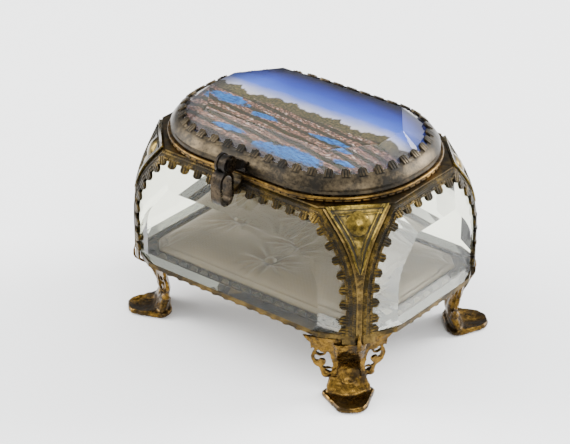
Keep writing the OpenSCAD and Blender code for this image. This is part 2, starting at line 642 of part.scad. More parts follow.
// A knuckle of the hinge, centred on x with its bore
module knuckle(x, length) translate([x, hinge_y, hinge_z]) rotate([0, 90, 0]) difference() {
    cylinder(r = knuckle_r, h = length, center = true, $fn = 32);
    cylinder(r = hinge_pin_r + bore_fit, h = 2 * length, center = true, $fn = 32);
}
module hinge_frame_leaf() color(dark_brass) at_body() {
    for (side = [-1, 1]) knuckle(side * (lid_knuckle_l + frame_knuckle_l + 2 * fit) / 2, frame_knuckle_l);
    for (side = [-1, 1]) difference() {
        translate([side * (lid_knuckle_l + frame_knuckle_l + 2 * fit) / 2 - frame_knuckle_l / 2, rim_y + fit, rim_z])
            cube([frame_knuckle_l, sheet_t, hinge_z - rim_z]);
        translate([0, hinge_y, hinge_z]) rotate([0, 90, 0])
            cylinder(r = knuckle_r - fit, h = 2 * hinge_l(), center = true, $fn = 32);
    }
    translate([-hinge_l() / 2, rim_y + fit, rim_z - leaf_drop]) cube([hinge_l(), sheet_t, leaf_drop + fit]);
}
module hinge_lid_leaf() color(dark_brass) at_body() {
    knuckle(0, lid_knuckle_l);
    difference() {
        translate([-lid_knuckle_l / 2, lid_y + fit, lid_z + 0.3]) cube([lid_knuckle_l, hinge_y - lid_y - fit, sheet_t]);
        translate([0, hinge_y, hinge_z]) rotate([0, 90, 0])
            cylinder(r = knuckle_r - fit, h = 2 * hinge_l(), center = true, $fn = 32);
    }
    translate([-hinge_l() / 2, lid_y + fit, lid_z + 0.3]) cube([hinge_l(), sheet_t, bezel_knee - lid_z - 0.3]);
}
module hinge_pin() color(gilt) at_body() translate([0, hinge_y, hinge_z]) rotate([0, 90, 0]) {
    cylinder(r = hinge_pin_r, h = hinge_l() + 0.6, center = true, $fn = 24);
    for (side = [-1, 1]) translate([0, 0, side * (hinge_l() / 2 + 0.35)])
        cylinder(r = 0.75 * knuckle_r, h = 0.5, center = true, $fn = 24);
}

// The lid's glass: a flat top with cut corners, bevelled down to an oval edge
function table_outline() = let (q = [[table_x, table_y - table_cut_y], [table_x - table_cut_x, table_y]])
    [q[0], q[1], [-q[1].x, q[1].y], [-q[0].x, q[0].y], -q[0], -q[1], [q[1].x, -q[1].y], [q[0].x, -q[0].y]];
edge_in = bezel_lean + sheet_t + fit;
module lid_glass() color(clear_glass) at_body() hull() {
    translate([0, 0, lid_glass_z]) linear_extrude(lid_edge_t)
        polygon(oval(lid_x - edge_in, lid_y - edge_in, lid_r - edge_in));
    translate([0, 0, lid_top - fit]) linear_extrude(fit) polygon(table_outline());
}
module lid_print() color(picture_blue) at_body() translate([0, 0, lid_glass_z - print_t - fit])
    linear_extrude(print_t) oval_face(lid_x - edge_in, lid_y - edge_in, lid_r - edge_in);
module lid_backing() color(dark_brass) at_body() translate([0, 0, lid_glass_z - print_t - backing_t - 2 * fit])
    linear_extrude(backing_t) oval_face(lid_x - edge_in, lid_y - edge_in, lid_r - edge_in);

// The lid's brass bezel: a wall that leans in over the glass, a ledge under the backing and
// folded teeth
module lid_bezel() {
    ledge_z = lid_glass_z - print_t - backing_t - 3 * fit;
    wall_in = oval(lid_x - edge_in, lid_y - edge_in, lid_r - edge_in);
    drop = lid_glass_t - lid_edge_t;
    // The lip rises as steeply as the glass does at its ends
    lip_slope = drop / (lid_bevel_x - edge_in);
    lip = [-edge_in - bezel_lip, lid_z + bezel_h + lip_slope * bezel_lip];
    color(dark_brass) at_body() {
        oval_ring(lid_x, lid_y, lid_r, [
            [-0.25, lid_z], [0, lid_z + 0.3], [-0.2, lid_z + 1], [0, bezel_knee], [-bezel_lean, lid_z + bezel_h + 0.3],
            [-edge_in, lid_z + bezel_h + 0.6], lip + [0, 0.6], lip + [0, 0.1],
            [-bezel_lean - sheet_t, lid_z + bezel_h + 0.1], [-sheet_t, bezel_knee],
            [-sheet_t, ledge_z], [-sheet_t - ledge_w, ledge_z], [-sheet_t - ledge_w, ledge_z - sheet_t],
            [-sheet_t, ledge_z - sheet_t], [-sheet_t, lid_z]]);
        for (s = oval_stations(lid_x - edge_in, lid_y - edge_in, lid_r - edge_in, lid_tooth_pitch)) let (
                run = support(wall_in, s[2]) - support(table_outline(), s[2]))
            translate([s.x, s.y, lid_z + bezel_h]) rotate([0, 0, s[2]]) tooth(atan(drop / run), 0.4, tooth_l);
    }
}

// Bracket that carries the clasp: a pad bent over the bezel and an arm with a knuckle
module clasp_bracket() {
    pad_w = 4.4;
    arm_w = hasp_w / 2;
    front = -lid_y - fit;
    reach = 0.7;
    bend_top = [-lid_y + reach * bezel_lean - 2 * fit, lerp(bezel_knee, lid_z + bezel_h + 0.3, reach)];
    color(copper) at_body() {
        translate([-pad_w / 2, 0, 0]) rotate([90, 0, 90]) linear_extrude(pad_w) polygon([
            [front, lid_z + 0.6], [front, bezel_knee], bend_top, bend_top + [-sheet_t, 0.2],
            [front - sheet_t, bezel_knee + 0.1], [front - sheet_t, lid_z + 0.6]]);
        difference() {
            union() {
                translate([-arm_w / 2, 0, 0]) rotate([90, 0, 90]) linear_extrude(arm_w) polygon([
                    [front - sheet_t / 2, lid_z + 1], [front - sheet_t / 2, bezel_knee], bend_top + [-sheet_t / 2, 0],
                    [clasp_y + 0.8, clasp_z + eye_r - 0.9], [clasp_y + 0.8, clasp_z - 1.7]]);
                translate([0, clasp_y, clasp_z]) rotate([0, 90, 0])
                    cylinder(r = eye_r - 0.3, h = arm_w, center = true, $fn = 48);
            }
            translate([0, clasp_y, clasp_z]) rotate([0, 90, 0])
                cylinder(r = clasp_pin_r + bore_fit, h = 2 * hasp_w, center = true, $fn = 48);
        }
    }
}
module clasp_pin() color(copper) at_body() translate([0, clasp_y, clasp_z]) rotate([0, 90, 0]) {
    cylinder(r = clasp_pin_r, h = hasp_w + 0.6, center = true, $fn = 48);
    for (side = [-1, 1]) translate([0, 0, side * (hasp_w / 2 + 0.3)])
        cylinder(r = clasp_pin_r + 0.35, h = 0.4, center = true, $fn = 48);
}

// The clasp itself: a strap rolled into an eye above and a long finger loop below
module clasp_hasp() color(copper) at_body() difference() {
    translate([-hasp_w / 2, 0, 0]) rotate([90, 0, 90]) linear_extrude(hasp_w) difference() {
        union() {
            translate([clasp_y, clasp_z]) circle(eye_r, $fn = 48);
            stadium(loop_r);
        }
        stadium(loop_r - loop_t);
        translate([clasp_y, clasp_z]) circle(clasp_pin_r + bore_fit, $fn = 48);
    }
    translate([0, clasp_y, clasp_z]) rotate([0, 90, 0])
        cylinder(r = eye_r + 2 * fit, h = hasp_w / 2 + 0.2, center = true, $fn = 48);
}
module stadium(r) {
    top_y = loop_top - loop_r;
    for (z = [0, -loop_l]) translate([loop_y, top_y + z]) circle(r, $fn = 48);
    translate([loop_y - r, top_y - loop_l]) square([2 * r, loop_l]);
}

// A solid lofted through closed rings with the same number of points, lowest ring first
module loft(rings) {
    m = len(rings[0]);
    n = len(rings);
    polyhedron([for (r = rings) each r], concat([[for (j = [0 : m - 1]) j]],
        [for (i = [0 : n - 2], j = [0 : m - 1]) let (a = i * m + j, b = i * m + (j + 1) % m)
            each [[a, b + m, b], [a, a + m, b + m]]],
        [[for (j = [m - 1 : -1 : 0]) (n - 1) * m + j]]));
}

// Cast foot: a dished sole, a leg that leans in under the corner and two openwork scrolls
foot_h = leg_h - fit;
// The leg steps back behind the boot above this height
shoulder = foot_h - boot_drop;
// The sizes below are drawn for a foot of this height and grow with the real one
drawn_h = 19.75;
grown = foot_h / drawn_h;
// How far each foot, soldered on by hand, sits out of its corner and along it
foot_set = grown * [[1.2, -2.1], [0.6, 0], [0, 0], [-1.2, 0]];
// The leg's sections: [share of the shoulder's height, front, half width, depth]
leg_rings = [[0.06, -2.4, 6, 4], [0.17, -3.4, 6.3, 3.6], [0.27, -4.2, 5.5, 3.4], [0.36, -4.6, 4.8, 3.2],
    [0.46, -4.4, 4.3, 3], [0.58, -3.6, 4, 2.8], [0.72, -2.3, 4.1, 2.8], [0.86, -1, 4.5, 2.8], [1, -0.2, 4.8, 2.8]];
function leg_ring(z, front, half_w, depth) = [for (t = [0 : 20 : 340]) let (c = cos(t), s = sin(t)) [
    front - depth / 2 + depth / 2 * sign(s) * pow(abs(s), 0.6), -half_w * sign(c) * pow(abs(c), 0.75), z]];

// The sole's outline: [share of the length from the heel, share of the half width]
sole_shape = [[0, 0.4], [0.03, 0.62], [0.1, 0.86], [0.18, 0.97], [0.25, 1], [0.32, 0.97], [0.45, 0.87],
    [0.6, 0.77], [0.75, 0.67], [0.87, 0.57], [0.95, 0.45], [0.99, 0.3], [1, 0.18]];
function sole_ring(grow, z) = let (x0 = toe_reach - sole_l - grow, x1 = toe_reach + grow,
    half = [for (q = sole_shape) [lerp(x0, x1, q[0]), q[1] * sole_w / 2 + grow]])
    concat([for (q = half) [q.x, -q.y, z]], [for (i = [len(half) - 1 : -1 : 0]) [half[i].x, half[i].y, z]]);

module foot(k) color(gilt) at_corner(k) translate([corner_x, -corner_y, 0]) rotate([0, 0, -45]) {
    // The neck behind the boot: its front, half width and depth
    neck = [min(-1.2, -1 - foot_set[k].x), 4.6 * grown, 1.4 * grown];
    hollow_r = 4.5 * grown;
    hollow_x = -1.2 * grown;
    scroll_x = -0.6 * grown;
    leaf_x = foot_set[k].x - 0.8 * grown;
    translate([foot_set[k].x, foot_set[k].y, 0]) {
        sole();
        difference() {
            loft(concat([for (r = leg_rings) leg_ring(r[0] * shoulder, r[1] * grown, r[2] * grown, r[3] * grown)],
                [for (z = [shoulder + fit, foot_h]) leg_ring(z, neck[0], neck[1], neck[2])]));
            translate([hollow_x, 0, 0.4 * foot_h]) sphere(hollow_r, $fn = 48);
        }
        for (side = [0, 1]) mirror([0, side, 0]) translate([scroll_x, 0, foot_h]) rotate([0, 0, wing_turn])
            rotate([0, wing_lean, 0]) rotate([90, 0, 90]) translate([0, -scroll_t * sin(wing_lean), -scroll_t]) {
                linear_extrude(scroll_t) scroll();
                translate([scroll_knob.x, scroll_knob.y, scroll_t / 2]) sphere(knob_r, $fn = 24);
            }
    }
    leaf(leaf_x);
}

// Sole: a thin rim all round, with a dish inside it
module sole() {
    dish_r = 1.08 * sole_l;
    top = sole_t + 0.4;
    difference() {
        loft([sole_ring(-0.5, 0), sole_ring(0, 0.5), sole_ring(0, top - 0.6), sole_ring(-0.5, top)]);
        translate([toe_reach - 0.4 * sole_l, 0, sole_t - 0.5 + dish_r]) sphere(dish_r, $fn = 80);
    }
}

// Leaf that grows from the leg's front into the groove of the corner: [height share, half width,
// depth, share of the way out from the leg]
module leaf(start) loft([for (r = [[0.78, 1.2, 0.7, 0], [0.86, 1.1, 0.6, 0.85], [0.91, 1, 0.55, 1],
        [0.98, 0.9, 0.55, 1], [1.05, 0.5, 0.4, 1], [1.11, 0.15, 0.2, 1]]) let (x = lerp(start - r[2], 0.65, r[3]))
    [for (t = [0 : 45 : 315]) [x + r[2] * (1 + sin(t)), -r[1] * cos(t), r[0] * foot_h]]]);

// Side scroll of a foot, drawn flat: x runs along the wall, y is the height below the foot's top
scroll_t = 1.3 * grown;
scroll_knob = grown * [7.5, -13];
knob_r = 1.45 * grown;
module scroll() {
    volute = grown * [8.7, -5];
    curl = grown * [7.7, -7.4];
    tip = [[0, 0], [-0.7, -0.9], [-2, -2.4], [-2.2, -4.8]];
    stem = [[10, -3.6], [8.4, -3], [7, -3.8], [6, -6.2], [5.5, -9.5], [5.9, -11.6], [6.8, -13.6], [4.4, -13.6],
        [3.6, -9], [3.8, 0]];
    tail = [[0, -3.3], [1.5, -3.4], [1.2, -5], [-0.4, -4.8]];
    polygon(concat([for (q = tip) [wing_l, 0] + grown * q], grown * stem));
    difference() {
        translate(volute) circle(1.9 * grown, $fn = 32);
        translate(volute) circle(1.1 * grown, $fn = 32);
    }
    translate(volute + grown * [-0.5, 0.3]) circle(0.7 * grown, $fn = 24);
    difference() {
        translate(curl) circle(3.8 * grown, $fn = 48);
        translate(curl + grown * [-0.9, 0.3]) circle(3.4 * grown, $fn = 48);
        translate(curl + grown * [-4, -3.3]) square(grown * [4.4, 8]);
    }
    translate(curl + grown * [0.7, -1.5]) circle(1.3 * grown, $fn = 24);
    polygon([for (q = tail) curl + grown * q]);
}

wall_glass(0);  // front_glass
wall_glass(1);  // right_glass
wall_glass(2);  // back_glass
wall_glass(3);  // left_glass
wall_gallery(0);  // front_gallery
wall_gallery(1);  // right_gallery
wall_gallery(2);  // back_gallery
wall_gallery(3);  // left_gallery
corner_post(0);  // corner_post_front_right
corner_post(1);  // corner_post_back_right
corner_post(2);  // corner_post_back_left
corner_post(3);  // corner_post_front_left
spandrel(0);  // spandrel_front_right
spandrel(1);  // spandrel_back_right
spandrel(2);  // spandrel_back_left
spandrel(3);  // spandrel_front_left
foot(0);  // foot_front_right
foot(1);  // foot_back_right
foot(2);  // foot_back_left
foot(3);  // foot_front_left
base_gallery();
base_plate();
base_pad();
pad_buttons();
top_plate();
top_rim();
catch_plate();
hinge_frame_leaf();
hinge_pin();
lid_bezel();
lid_glass();
lid_print();
lid_backing();
hinge_lid_leaf();
clasp_bracket();
clasp_pin();
clasp_hasp();
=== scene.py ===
# %% [markdown]
# A small glass casket
#
# This lesson dresses a small casket for keepsakes: four thick bevelled glass walls in
# toothed brass strips, a hinged lid with a picture under glass, a tufted silk floor and
# four cast feet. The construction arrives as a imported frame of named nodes, in metres.
# Everything here gives those nodes their finish, or stands a finer piece in the same place.

# %% Load the frame
import math

import bmesh
import bpy
from mathutils import Matrix, Vector


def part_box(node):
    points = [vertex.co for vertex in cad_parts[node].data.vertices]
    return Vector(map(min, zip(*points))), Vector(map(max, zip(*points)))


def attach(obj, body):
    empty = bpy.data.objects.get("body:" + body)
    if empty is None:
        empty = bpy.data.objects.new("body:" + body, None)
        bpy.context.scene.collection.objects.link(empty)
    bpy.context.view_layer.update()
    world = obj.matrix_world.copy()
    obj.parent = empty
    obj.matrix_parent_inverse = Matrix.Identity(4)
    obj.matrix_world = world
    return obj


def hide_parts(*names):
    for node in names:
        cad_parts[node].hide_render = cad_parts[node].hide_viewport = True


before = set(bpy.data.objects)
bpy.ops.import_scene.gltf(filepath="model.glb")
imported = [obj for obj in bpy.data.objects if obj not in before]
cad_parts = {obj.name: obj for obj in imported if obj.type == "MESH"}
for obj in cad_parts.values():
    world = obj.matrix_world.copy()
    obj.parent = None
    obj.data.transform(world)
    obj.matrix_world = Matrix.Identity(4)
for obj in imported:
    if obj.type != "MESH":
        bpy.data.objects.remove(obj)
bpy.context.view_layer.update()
MM = 0.001


def in_mm(*lengths):
    return [round(length / MM, 2) for length in lengths]


# %% [markdown]
# The middle of the body is not the middle of the whole casket, because the clasp hangs
# out in front. Many patterns below are centred on the body, so its middle is read once
# from the lid's picture, which is as long and as deep as the glass over it.

# %% Find the body's middle and the sizes of picture and pad
print_low, print_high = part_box("lid_print")
middle = (print_low + print_high) / 2
print_half = (print_high - print_low) / 2
pad_low, pad_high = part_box("base_pad")
print("body middle", in_mm(*middle), "half the picture", in_mm(*print_half))

# %% [markdown]
# Camera, floor and light come first, so that every later step can be looked at. The
# photograph is taken from the right front corner, a little under thirty degrees above
# the table, with a long lens that keeps the casket's edges nearly parallel. The numbers
# come from fitting the corners of the glass, the lid and the feet to the photograph.

# %% Camera at the photograph's viewing angle
CAMERA_FROM_BODY = Vector((331.3, -419.5, 321.5)) * MM
CAMERA_TURN = 38.87
CAMERA_DROP = 28.55
FOCAL_PIXELS = 2166.4
PHOTO_WIDTH = 570
SENSOR = 36.0

camera_data = bpy.data.cameras.new("camera")
camera_data.sensor_width = SENSOR
camera_data.lens = FOCAL_PIXELS / PHOTO_WIDTH * SENSOR
camera_data.clip_start = 0.01
camera = bpy.data.objects.new("camera", camera_data)
camera.location = CAMERA_FROM_BODY + Vector((0, middle.y, 0))
camera.rotation_euler = (math.radians(90 - CAMERA_DROP), 0, math.radians(CAMERA_TURN))
bpy.context.collection.objects.link(camera)
bpy.context.scene.camera = camera
print("lens", round(camera_data.lens, 1), "mm")

# %% [markdown]
# A material is a network of nodes. Written out node by node it is long and hard to read,
# so one small class wraps a socket and lets the maths be written as plain expressions.

# %% A socket to calculate with
class Value:
    def __init__(self, paint, socket):
        self.paint = paint
        self.socket = socket

    def math(self, operation, other=0.0, flip=False):
        pair = (other, self) if flip else (self, other)
        return self.paint.node("Math", {0: pair[0], 1: pair[1]}, operation=operation)

    def __add__(self, other):
        return self.math("ADD", other)

    def __radd__(self, other):
        return self.math("ADD", other)

    def __sub__(self, other):
        return self.math("SUBTRACT", other)

    def __rsub__(self, other):
        return self.math("SUBTRACT", other, flip=True)

    def __mul__(self, other):
        return self.math("MULTIPLY", other)

    def __truediv__(self, other):
        return self.math("DIVIDE", other)

    def __pow__(self, other):
        return self.math("POWER", other)

    def clamped(self):
        return self.paint.node("Clamp", {"Value": self})

    def sine(self):
        return self.math("SINE")

    def size(self):
        return self.math("ABSOLUTE")


# %% [markdown]
# The second class holds the network of one material. Its method node makes any kind of
# node, and the shorter methods name the few kinds that come up again and again. openness
# is ambient occlusion: 1 on a plain face and less in a corner, or, measured inside the
# metal, less at an outer edge.

# %% A maker of materials
class Paint:
    def __init__(self, name, owner=None):
        self.owner = owner or bpy.data.materials.new(name)
        self.owner.use_nodes = True
        self.tree = self.owner.node_tree
        self.tree.nodes.clear()

    def node(self, kind, inputs=None, out=0, stops=None, **settings):
        made = self.tree.nodes.new("ShaderNode" + kind)
        for key, value in settings.items():
            setattr(made, key, value)
        if stops:
            ramp = made.color_ramp.elements
            while len(ramp) < len(stops):
                ramp.new(0.5)
            for element, (place, colour) in zip(ramp, stops):
                element.position = place
                element.color = (*colour, 1)
        for key, value in (inputs or {}).items():
            if isinstance(value, Value):
                self.tree.links.new(value.socket, made.inputs[key])
            else:
                made.inputs[key].default_value = value
        return Value(self, made.outputs[out])

    def place(self):
        return self.node("TexCoord", out="Object")

    def axes(self, place):
        made = self.node("SeparateXYZ", {0: place}).socket.node
        return [Value(self, made.outputs[i]) for i in range(3)]

    def noise(self, place, scale, detail=3.0, roughness=0.55):
        inputs = {"Vector": place, "Scale": scale, "Detail": detail, "Roughness": roughness}
        return self.node("TexNoise", inputs)

    def mix(self, share, first, second):
        return self.node("Mix", {0: share, 6: first, 7: second}, out=2, data_type="RGBA")

    def openness(self, reach, samples=6, inside=False):
        return self.node("AmbientOcclusion", {"Distance": reach}, out="AO", samples=samples,
            only_local=True, inside=inside)

    def bump(self, height, distance, strength):
        return self.node("Bump", {"Height": height, "Distance": distance, "Strength": strength})

    def finish(self, **inputs):
        names = {key.replace("_", " "): value for key, value in inputs.items()}
        return self.output(self.node("BsdfPrincipled", names))

    def output(self, shader, kind="OutputMaterial"):
        made = self.tree.nodes.new("ShaderNode" + kind)
        self.tree.links.new(shader.socket, made.inputs["Surface"])
        return self.owner


def rgb(red, green, blue):
    return (red, green, blue, 1.0)


# %% [markdown]
# The floor is a plain pale sheet, much larger than the casket, with the very soft
# mottling of matt card. It belongs to the stage and not to the casket.

# %% Floor
FLOOR_SIZE = 3.0
MOTTLE_SCALE = 9.0
paint = Paint("pale_card")
mottle = paint.noise(paint.place(), MOTTLE_SCALE)
floor_colour = paint.mix(mottle, rgb(0.93, 0.928, 0.922), rgb(0.96, 0.957, 0.953))
pale_card = paint.finish(Base_Color=floor_colour, Roughness=0.65)

floor_mesh = bpy.data.meshes.new("floor")
ground = bmesh.new()
bmesh.ops.create_grid(ground, x_segments=1, y_segments=1, size=FLOOR_SIZE / 2)
ground.to_mesh(floor_mesh)
ground.free()
floor = bpy.data.objects.new("floor", floor_mesh)
floor.data.materials.append(pale_card)
bpy.context.collection.objects.link(floor)
print("floor is", FLOOR_SIZE, "m wide")

# %% [markdown]
# Three soft lamps light the casket: a window on the left, a weak one in front that keeps
# the near corner from going black, and one behind that shines through the glass. Their
# places keep them out of the lid's mirror as the photograph's camera sees it.

# %% Lamps
def area_light(name, place, size, power, colour):
    light = bpy.data.lights.new(name, "AREA")
    light.energy = power
    light.size = size
    light.color = colour
    lamp = bpy.data.objects.new(name, light)
    lamp.location = place
    lamp.rotation_euler = (-Vector(place)).to_track_quat("-Z", "Y").to_euler()
    bpy.context.collection.objects.link(lamp)
    return lamp


lamps = [
    area_light("window_left", (-0.85, -0.45, 0.50), size=0.6, power=16.0, colour=(1.0, 0.98, 0.95)),
    area_light("soft_front", (0.75, -0.40, 0.70), size=0.5, power=6.0, colour=(0.97, 0.98, 1.0)),
    area_light("from_behind", (0.55, 0.80, 0.50), size=0.5, power=20.0, colour=(1.0, 1.0, 1.0))]
print("lamps", [lamp.name for lamp in lamps])

# %% [markdown]
# The lid's flat table and its bevels each mirror one part of the room towards the camera.
# All those parts lie behind the casket to the left, so that side is kept dark, or it would
# lie like a white veil over the picture. The rest of the room is bright overhead and
# behind, and dim on the camera's side.

# %% Surroundings
MIRRORED = Vector((-0.73, 0.61, 0.31))
TO_CAMERA = Vector((0.60, -0.75, 0.28))
ROOM_STRENGTH = 3.3
HORIZON_LIGHT = 0.75
RISE_WITH_HEIGHT = 1.1
CAMERA_SIDE_DIMMED = 0.75
MIRRORED_DIMMED = 0.88
world = bpy.data.worlds.new("soft_room")
paint = Paint("soft_room", world)
direction = paint.node("TexCoord", out="Generated")


def facing(way, starts_at, steepness):
    along = paint.node("VectorMath", {0: direction, 1: tuple(way)}, out="Value", operation="DOT_PRODUCT")
    return ((along - starts_at) * steepness).clamped()


height = paint.axes(direction)[2]
light = (height * RISE_WITH_HEIGHT + HORIZON_LIGHT).clamped()
light = light * (1.0 - facing(TO_CAMERA, starts_at=0.2, steepness=1.1) * CAMERA_SIDE_DIMMED)
light = light * (1.0 - facing(MIRRORED, starts_at=0.74, steepness=7.0) * MIRRORED_DIMMED)
room = paint.node("Background", {"Color": rgb(0.96, 0.98, 1.0), "Strength": light * ROOM_STRENGTH})
paint.output(room, "OutputWorld")
bpy.context.scene.world = world
print("room strength", ROOM_STRENGTH)

# %% [markdown]
# Old brass is never one colour. The sheet was gilded or lacquered once; where fingers rub, it stays
# bright, and in every corner it has turned brown or nearly black. Such wear could be painted by hand, with
# an image for every piece, but noise and the shape itself can place it just as well. Two layers of noise
# mix a middle and a bright colour. Ambient occlusion finds the inner corners, which are darkened partly
# for dirt and partly as painted shade, and the same node turned inwards finds the outer edges, which rub
# bright. The strips are ribbed and grow browner with height, and the inner side of the base strip is
# darkened as painted shade.

# %% How brass wears
CLOUD_SCALE = 170.0
SPECK_SCALE = 1100.0
SPECK_CONTRAST = 2.2
WORN_SHARE = 0.35
EDGE_REACH = 0.35 * MM
RIB_PITCH = 0.7 * MM
CLIMB_HEIGHT = 12 * MM
DENT_DEPTH = 0.05 * MM
DIRT_HIDES_METAL = 0.45
DIRT_ROUGHENS = 0.3
inside_half = Vector((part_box("right_glass")[0].x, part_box("back_glass")[0].y - middle.y))


def brass(name, dark, middle_tone, bright, rough, grime_and_shade, reach=1.4, rubbed=0.6, ribs=0.0, climb=0.0,
        unlit=0.0, blotch=3.6):
    paint = Paint(name)
    place = paint.place()
    x, y, z = paint.axes(place)
    aside = x.size()
    ahead = (y - middle.y).size()
    cloud = paint.noise(place, CLOUD_SCALE, 4.0, 0.62)
    speck = paint.noise(place, SPECK_SCALE, 3.0, 0.7)
    wear = (cloud - 0.5) * blotch + (speck - 0.5) * SPECK_CONTRAST + WORN_SHARE
    if climb:
        wear = wear - ((z - pad_low.z) / CLIMB_HEIGHT).clamped() * climb
    colour = paint.mix(wear.clamped(), rgb(*middle_tone), rgb(*bright))
    # Inner corners are darkened, partly as dirt and partly as painted shade.
    corner = 1.0 - paint.openness(reach * MM)
    dirt_and_shade = (corner * grime_and_shade + (0.52 - cloud) * blotch * 0.45).clamped()
    colour = paint.mix(dirt_and_shade, colour, rgb(*dark))
    edge = 1.0 - paint.openness(EDGE_REACH, inside=True)
    rub = ((edge - 0.35) * 1.6 - (0.5 - cloud) * 1.5).clamped() * rubbed
    colour = paint.mix(rub, colour, rgb(*bright))
    # Metal inside the walls is darkened as painted shade.
    if unlit:
        indoors = ((inside_half.x - aside) / MM).clamped() * ((inside_half.y - ahead) / MM).clamped()
        colour = paint.mix(indoors * unlit, colour, rgb(*dark))
    dents = speck * 0.6 + cloud * 1.6
    if ribs:
        dents = dents + ((z - aside - ahead) * (2 * math.pi / RIB_PITCH)).sine() * ribs
    return paint.finish(
        Base_Color=colour,
        Metallic=(1.0 - dirt_and_shade * DIRT_HIDES_METAL).clamped(),
        Roughness=(rough + (speck - 0.5) * 0.3 + dirt_and_shade * DIRT_ROUGHENS).clamped(),
        Normal=paint.bump(dents, DENT_DEPTH, 0.8))


print("brass is ribbed every", in_mm(RIB_PITCH), "mm")

# %% [markdown]
# Each brass has three tones, dark to bright, then a roughness and how strongly its corners darken, partly
# as dirt and partly as painted shade. The strips and plates are dull, the corner ornaments keep the most
# gilding, and the bezel and the clasp, which are handled most, have lost nearly all of it.

# %% The casket's brasses
dark_brass = brass("dark_brass",
    (0.005, 0.004, 0.002), (0.022, 0.015, 0.006), (0.130, 0.084, 0.025), 0.32, 2.2)
backing_brass = brass("backing_brass",
    (0.008, 0.006, 0.003), (0.040, 0.027, 0.010), (0.090, 0.060, 0.022), 0.36, 2.2, blotch=1.0)
base_brass = brass("base_brass",
    (0.010, 0.009, 0.006), (0.022, 0.015, 0.006), (0.130, 0.084, 0.025), 0.36, 2.2, unlit=0.92)
ribbed_brass = brass("ribbed_brass",
    (0.005, 0.004, 0.002), (0.020, 0.014, 0.005), (0.130, 0.082, 0.019), 0.32, 2.2, ribs=0.9, climb=0.35)
bezel_brass = brass("bezel_brass",
    (0.005, 0.005, 0.004), (0.017, 0.014, 0.010), (0.066, 0.050, 0.030), 0.34, 1.5, rubbed=0.4)
bright_gilt = brass("bright_gilt",
    (0.006, 0.005, 0.002), (0.036, 0.025, 0.005), (0.20, 0.135, 0.027), 0.20, 4.5, reach=0.7)
gilt_brass = brass("gilt_brass",
    (0.008, 0.005, 0.002), (0.052, 0.030, 0.008), (0.21, 0.120, 0.028), 0.30, 2.2)
cast_brass = brass("cast_brass",
    (0.007, 0.004, 0.002), (0.036, 0.021, 0.006), (0.185, 0.102, 0.019), 0.26, 2.4)
copper_brown = brass("copper_brown",
    (0.005, 0.004, 0.003), (0.013, 0.010, 0.007), (0.060, 0.044, 0.027), 0.28, 1.8)
print("materials so far", [material.name for material in bpy.data.materials])

# %% [markdown]
# The walls are glass, five and a half millimetres thick, so they are made as glass, with
# full transmission. A block of crown glass traps so much light at its bevels that they
# turn black in a plain studio, and it mirrors the pale floor like a veil. A lower index
# lets the light out again, dims the veil and still bends what lies behind. Old glass is
# a little yellow-green, and a thin film of fingermarks makes it uneven in places.

# %% Wall glass and lid glass
SMEAR_SCALE = 70.0


def clear_glass(name, tint, index):
    paint = Paint(name)
    smear = paint.noise(paint.place(), SMEAR_SCALE)
    film = (smear - 0.52) * 0.06 + 0.012
    return paint.finish(Base_Color=rgb(*tint), Transmission_Weight=1.0, IOR=index, Roughness=film)


wall_glass = clear_glass("wall_glass", (0.942, 0.952, 0.865), 1.24)
lid_glass = clear_glass("lid_glass", (0.985, 0.992, 0.995), 1.34)
print("glasses", wall_glass.name, lid_glass.name)

# %% [markdown]
# Under the lid's glass lies a printed view. The picture here is a made-up one: an evening
# sky over low hills, a wooded shore, rows of bloom along a stream and blue pools between
# them. It is painted in bands, each the part of the picture below a line across it, and
# noise breaks every line: ripple changes only along the lid, fine and leaf are small, and
# haze is broad. across and up run from -1 to 1 over the picture.

# %% Canvas for the picture
paint = Paint("picture")
x, y, _ = paint.axes(paint.place())
across = x / print_half.x
up = (y - middle.y) / print_half.y


def broken(along, upward, scale, detail=4.0, roughness=0.6):
    place = paint.node("CombineXYZ", {0: along, 1: upward})
    return paint.noise(place, scale, detail, roughness)


def below(line, softness):
    return ((line - up) / softness + 0.5).clamped()


RIPPLE_ROW = 0.4
ripple = broken(across * 3.0, RIPPLE_ROW, 1.6)
fine = broken(across * 9.0, up * 16.0, 2.2, roughness=0.65)
leaf = broken(across * 30.0, up * 34.0, 1.4, roughness=0.7)
haze = broken(across * 2.0, up * 3.0, 1.5, detail=3.0)
print("picture is", in_mm(*(2 * print_half)), "mm")

# %% [markdown]
# The sky is a ramp of colours from the pale horizon up to a nearly black edge. The hills
# and the shore are laid over it, and the rows of bloom are a sine wave that runs a little
# aslant across the lower half.

# %% Sky, hills and bloom
HILL_TOP = 0.13
SHORE_LINE = -0.02
SKY_COLOURS = [
    (0.0, (0.70, 0.54, 0.38)), (0.15, (0.50, 0.50, 0.58)), (0.34, (0.045, 0.115, 0.56)),
    (0.56, (0.010, 0.034, 0.33)), (0.70, (0.006, 0.014, 0.16)), (0.82, (0.004, 0.004, 0.020))]
sky_height = (up + (haze - 0.5) * 0.14 + 0.02).clamped()
picture_colour = paint.node("ValToRGB", {0: sky_height}, stops=SKY_COLOURS)
hill = below(HILL_TOP + (ripple - 0.5) * 0.50, 0.025)
slope = paint.mix(((leaf - 0.42) * 4.0).clamped(), rgb(0.030, 0.032, 0.012), rgb(0.18, 0.13, 0.05))
picture_colour = paint.mix(hill, picture_colour, slope)
bloom = paint.mix(((leaf - 0.50) * 9.0).clamped(), rgb(0.060, 0.036, 0.020), rgb(0.50, 0.24, 0.15))
bloom = paint.mix(((fine - 0.58) * 14.0).clamped(), bloom, rgb(0.66, 0.56, 0.46))
rows = (((up * 46.0 + across * 9.0 + haze * 4.0).sine() * 0.9 + 0.1) * 2.5).clamped()
bloom = paint.mix(rows * 0.9, bloom, rgb(0.022, 0.026, 0.009))
shore = below(SHORE_LINE + (ripple - 0.5) * 0.25 + (fine - 0.5) * 0.10, 0.02)
picture_colour = paint.mix(shore, picture_colour, bloom)
print("sky has", len(SKY_COLOURS), "colours")
